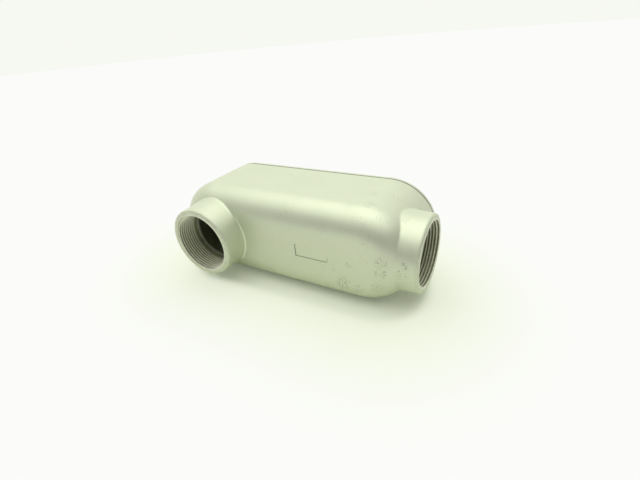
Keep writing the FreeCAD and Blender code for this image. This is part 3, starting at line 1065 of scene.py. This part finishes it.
@dataclass
class CoverScrew:
    """A slotted cover screw with a crowned head and a coarse thread."""

    head_radius: float = 5.9 * MM
    head_height: float = 3.4 * MM
    crown: float = 1.5 * MM
    slot_width: float = 1.7 * MM
    slot_depth: float = 1.6 * MM
    edge_round: float = 0.22 * MM
    shank_radius: float = 3.15 * MM
    shank_length: float = 15.9 * MM
    neck_length: float = 4.6 * MM
    core_radius: float = 2.5 * MM
    tip_chamfer: float = 0.8 * MM
    pitch: float = 1.27 * MM
    foot_share: float = 0.9
    top_share: float = 0.14
    foot_sink: float = 0.05 * MM
    top_gap: float = 0.02 * MM
    sides: int = 64
    ball_rings: int = 90
    edge_segments: int = 3
    thread_steps: int = 48
    smooth_angle: float = math.radians(35)
    turns_left: Sequence[float] = (0.35, -0.9, 1.2, -0.2)
    made: list[str] = field(default_factory=list)

    def build(self) -> None:
        """Builds one screw and puts a copy at each of the cover's four screw places."""
        steel = ZincSteel().material()
        screw = self.screw()
        for number, turn in enumerate(self.turns_left, start=1):
            node = f"cover_screw_{number}"
            low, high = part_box(node)
            seat = Vector(((low.x + high.x) / 2, high.y - self.head_height, (low.z + high.z) / 2))
            place = pointing(Vector((0.0, 1.0, 0.0)), seat, turn)
            piece = copy_of(screw, f"slotted_screw_{number}", place)
            dress(piece, steel)
            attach(piece, f"screw_{number}")
            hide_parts(node)
            self.made.append(piece.name)
        bpy.data.objects.remove(screw)

    def screw(self) -> bpy.types.Object:
        """Builds one screw.

        Returns:
            The screw, with the underside of its head at Z = 0 and its head along Z.
        """
        screw = self.crown_cap()
        bpy.ops.object.mode_set(mode="EDIT")
        edge = self.head_height - self.crown
        neck, tip = -self.neck_length, -self.shank_length
        cone = neck - (self.shank_radius - self.core_radius)
        levels = ((edge, self.head_radius), (0.0, self.head_radius), (0.0, self.shank_radius),
                  (neck, self.shank_radius), (cone, self.core_radius),
                  (tip + self.tip_chamfer, self.core_radius),
                  (tip, self.core_radius - self.tip_chamfer))
        for (level, radius), (to, new_radius) in zip(levels, levels[1:]):
            self.step_down(level, to, new_radius / radius)
        pick(Part.EDGES, lambda co: co.z < tip + NEAR)
        bpy.ops.mesh.edge_face_add()
        pick(Part.EDGES, lambda co: abs(co.z - edge) < NEAR
             and math.hypot(co.x, co.y) > self.head_radius * 0.98)
        bpy.ops.mesh.bevel(offset=self.edge_round, segments=self.edge_segments, affect="EDGES")
        bpy.ops.mesh.select_all(action="SELECT")
        bpy.ops.mesh.normals_make_consistent(inside=False)
        bpy.ops.object.mode_set(mode="OBJECT")
        self.cut_slot(screw)
        self.add_thread(screw)
        settle(screw, self.smooth_angle)
        return screw

    def crown_cap(self) -> bpy.types.Object:
        """Builds the head's crown.

        Returns:
            The top of a ball, open below.
        """
        ball = (self.head_radius ** 2 + self.crown ** 2) / (2 * self.crown)
        clear_selection()
        bpy.ops.mesh.primitive_uv_sphere_add(
            segments=self.sides, ring_count=self.ball_rings, radius=ball,
            location=(0.0, 0.0, self.head_height - ball))
        screw = bpy.context.object
        screw.name = screw.data.name = "cover_screw"
        bpy.ops.object.transform_apply(location=True)
        bpy.ops.object.mode_set(mode="EDIT")
        bpy.ops.mesh.select_all(action="SELECT")
        bpy.ops.mesh.bisect(plane_co=(0.0, 0.0, self.head_height - self.crown),
                            plane_no=(0.0, 0.0, -1.0), clear_outer=True, threshold=NEAR / 10)
        bpy.ops.object.mode_set(mode="OBJECT")
        return screw

    def step_down(self, level: float, to: float, scale: float) -> None:
        """Extrudes the open edge loop of the mesh being edited.

        Args:
            level: Where along Z the loop is.
            to: Where along Z it goes.
            scale: What its radius is multiplied by.
        """
        work = bmesh.from_edit_mesh(bpy.context.object.data)
        for edge in work.edges:
            middle = (edge.verts[0].co + edge.verts[1].co) / 2
            edge.select_set(False)
            if edge.is_boundary and abs(middle.z - level) < NEAR:
                edge.select_set(True)
        bmesh.update_edit_mesh(bpy.context.object.data)
        bpy.ops.mesh.extrude_edges_move(TRANSFORM_OT_translate={"value": (0.0, 0.0, to - level)})
        if scale != 1.0:
            bpy.ops.transform.resize(value=(scale, scale, 1.0))

    def cut_slot(self, screw: bpy.types.Object) -> None:
        """Saws the driver slot across the head.

        Args:
            screw: The screw.
        """
        clear_selection()
        bpy.ops.mesh.primitive_cube_add(size=1.0, location=(0.0, 0.0, self.head_height))
        saw = bpy.context.object
        saw.scale = (self.head_radius * 3, self.slot_width, self.slot_depth * 2)
        bpy.ops.object.transform_apply(location=True, scale=True)
        modify(screw, "BOOLEAN", operation="DIFFERENCE", solver="MANIFOLD", object=saw)
        bpy.data.objects.remove(saw)

    def add_thread(self, screw: bpy.types.Object) -> None:
        """Adds the thread's ridge round the core.

        Args:
            screw: The screw.
        """
        start = self.tip_chamfer - self.shank_length + self.pitch / 2
        turns = int((-self.neck_length - start) / self.pitch)
        tooth = Tooth(self.core_radius - self.foot_sink, self.shank_radius - self.top_gap,
                      self.pitch * self.foot_share, self.pitch * self.top_share)
        ridge = tooth_helix("screw_thread", tooth, self.pitch, turns, self.thread_steps, start)
        modify(screw, "BOOLEAN", operation="UNION", solver="MANIFOLD", object=ridge)
        bpy.data.objects.remove(ridge)


@dataclass
class Cover:
    """The cast cover, its gasket and the fibre washers that keep its screws captive."""

    retainers: int = 4

    def build(self) -> None:
        """Dresses the cover, the gasket and the retainers."""
        dress(frame["nodes"]["cover"], CoverPaint().material())
        dress(frame["nodes"]["gasket"], GasketRubber().material())
        fibre = VulcanisedFibre().material()
        for number in range(1, self.retainers + 1):
            dress(frame["nodes"][f"screw_retainer_{number}"], fibre)


# ---------------------------------------------------------------- studio


@dataclass
class Studio:
    """A pale floor, a room that is darker low down in front, and a large soft lamp overhead.

    Attributes:
        floor_radius: How far the floor reaches.
        near_floor: The floor beside the body, tinted yellow-green as painted bounce light from the
            body.
        far_floor: The floor away from it, as it is lit.
        white_floor: The same as it glows.
        wall: What the camera sees above the floor.
        core_half: Half the length of the line along the body that distances are taken from.
        tint_edge: Over which distances the near colour fades.
        contact_edge: Over which distances the darkest of the shadow fades.
        shade_edge: Over which distances the soft shadow fades.
        plain_edge: Over which distances the floor turns plain white.
        glows: How much each of those three adds to the floor's own glow.
        least_glow: The floor's glow under the body.
        level: How strong all the light is.
        overhead: How strong the room is overhead.
        far_side: How strong it is behind and to the left.
        back: What is added to that straight behind.
        lamp_radiance: How bright the lamp's face is.
        lamp_size: The lamp's length and width.
        lamp_place: Where the lamp hangs.
    """

    floor_radius: float = 6.0
    near_floor: Colour = (0.90, 0.94, 0.79)
    far_floor: Colour = (0.95, 0.955, 0.935)
    white_floor: Colour = (0.965, 0.968, 0.955)
    wall: Colour = (0.925, 0.945, 0.885)
    core_half: float = 0.10
    tint_edge: Span = (0.06, 0.21)
    contact_edge: Span = (0.050, 0.066)
    shade_edge: Span = (0.06, 0.14)
    plain_edge: Span = (0.12, 0.45)
    glows: Triple = (0.47, 0.22, 0.16)
    least_glow: float = 0.15
    level: float = 0.79
    overhead: float = 2.0
    far_side: float = 0.95
    back: float = 0.25
    lamp_radiance: float = 0.9
    lamp_size: Span = (2.4, 2.0)
    lamp_place: Triple = (-0.10, 0.05, 1.60)

    def build(self) -> None:
        """Builds the floor, the room and the lamp."""
        self.floor()
        self.room()
        self.lamp()
        bpy.context.scene.view_settings.view_transform = "Standard"

    def floor(self) -> None:
        """Lays the floor: it takes the shadow near the body and is plain white far off."""
        clear_selection()
        bpy.ops.mesh.primitive_circle_add(vertices=96, radius=self.floor_radius, fill_type="NGON")
        floor = bpy.context.object
        floor.name = "floor"
        material = bpy.data.materials.new("pale_floor")
        material.use_nodes = True
        sheet = Sheet(material.node_tree)
        x, y, _ = sheet.split(sheet.place())
        over = x - x.most(-self.core_half).least(self.core_half)
        gap = (over * over + y * y).root()
        # Near the body the floor takes a yellow-green tint: painted bounce light.
        tint = gap.ramp(*self.tint_edge)
        lit = sheet.add("ShaderNodeBsdfPrincipled", {}, {
            "Base Color": sheet.blend(tint, self.near_floor, self.far_floor), "Roughness": 0.7})
        glow = sheet.add("ShaderNodeEmission", {}, {
            "Color": sheet.blend(tint, self.near_floor, self.white_floor), "Strength": 1.0})
        steps = [gap.ramp(*edge) for edge in (self.contact_edge, self.shade_edge, self.plain_edge)]
        share = sum((step * part for step, part in zip(steps, self.glows)), start=self.least_glow)
        mix = sheet.add("ShaderNodeMixShader", {}, {
            0: self.seen(sheet, share, steps[-1]),
            1: Signal(sheet, lit.outputs[0]), 2: Signal(sheet, glow.outputs[0])})
        sheet.add("ShaderNodeOutputMaterial", {}, {"Surface": Signal(sheet, mix.outputs[0])})
        dress(floor, material)

    def room(self) -> None:
        """Fills the world: bright overhead and at the back and left, dim low down in front."""
        world = bpy.data.worlds.new("studio")
        bpy.context.scene.world = world
        world.use_nodes = True
        sheet = Sheet(world.node_tree)
        x, y, z = sheet.split(sheet.signal("ShaderNodeTexCoord", output="Generated"))
        overhead = ((z - 0.3).most(0.0) / 0.7) ** 2.0
        far_side = ((x - y) * math.sqrt(0.5)).ramp(0.55, -0.55)
        back = y.ramp(0.3, 0.9)
        beside = (far_side * self.far_side + back * self.back) * (1.0 - z * z)
        light = overhead * self.overhead + beside
        room = sheet.add("ShaderNodeBackground", {}, {
            "Color": (0.99, 1.0, 0.96), "Strength": light * self.level})
        wall = sheet.add("ShaderNodeBackground", {}, {"Color": self.wall, "Strength": 1.0})
        mirrored = far_side.ramp(0.3, 0.7) * z.ramp(0.30, 0.10)
        mix = sheet.add("ShaderNodeMixShader", {}, {
            0: self.seen(sheet, 1.0, mirrored),
            1: Signal(sheet, room.outputs[0]), 2: Signal(sheet, wall.outputs[0])})
        sheet.add("ShaderNodeOutputWorld", {}, {"Surface": Signal(sheet, mix.outputs[0])})

    def seen(self, sheet: Sheet, straight: Signal | float, mirrored: Signal | float) -> Signal:
        """How much of a background shows, which lights nothing.

        Args:
            sheet: Where to add nodes.
            straight: How much the camera sees.
            mirrored: How much mirrors and glass see.

        Returns:
            The share for each ray: 0 for light.
        """
        paths = sheet.add("ShaderNodeLightPath")
        camera, glossy, through = (Signal(sheet, paths.outputs[name]) for name in (
            "Is Camera Ray", "Is Glossy Ray", "Is Transmission Ray"))
        return camera * straight + glossy.most(through) * mirrored

    def lamp(self) -> None:
        """Hangs the soft lamp."""
        bpy.ops.object.light_add(type="AREA", location=self.lamp_place)
        lamp = bpy.context.object
        lamp.name = "overhead_lamp"
        lamp.data.shape = "RECTANGLE"
        lamp.data.size, lamp.data.size_y = length, width = self.lamp_size
        lamp.data.energy = self.lamp_radiance * self.level * math.pi * length * width


@dataclass
class Viewpoint:
    """The camera, looking down on the back hub and along to the end hub."""

    place: Triple = (0.23768, -0.33403, 0.26796)
    yaw: float = math.radians(32.04)
    pitch: float = math.radians(29.23)
    roll: float = math.radians(-5.30)
    lens: float = 21.89

    def build(self) -> None:
        """Makes the camera and sets it."""
        bpy.ops.object.camera_add(location=self.place)
        camera = bpy.context.object
        camera.data.lens = self.lens
        camera.data.sensor_width = 36.0
        camera.data.clip_start = 0.01
        turn = Matrix.Rotation(self.yaw, 4, "Z") @ Matrix.Rotation(math.pi / 2 - self.pitch, 4, "X")
        roll = Matrix.Rotation(self.roll, 4, "Z")
        camera.matrix_world = Matrix.Translation(self.place) @ turn @ roll
        bpy.context.scene.camera = camera


def main() -> None:
    """Builds and dresses everything in order."""
    logging.basicConfig(level=logging.INFO, format="%(name)s: %(message)s")
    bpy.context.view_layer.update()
    Viewpoint().build()
    Studio().build()
    casting, screws = Casting(), CoverScrew()
    casting.build()
    screws.build()
    Cover().build()


if __name__ == "__main__":
    main()
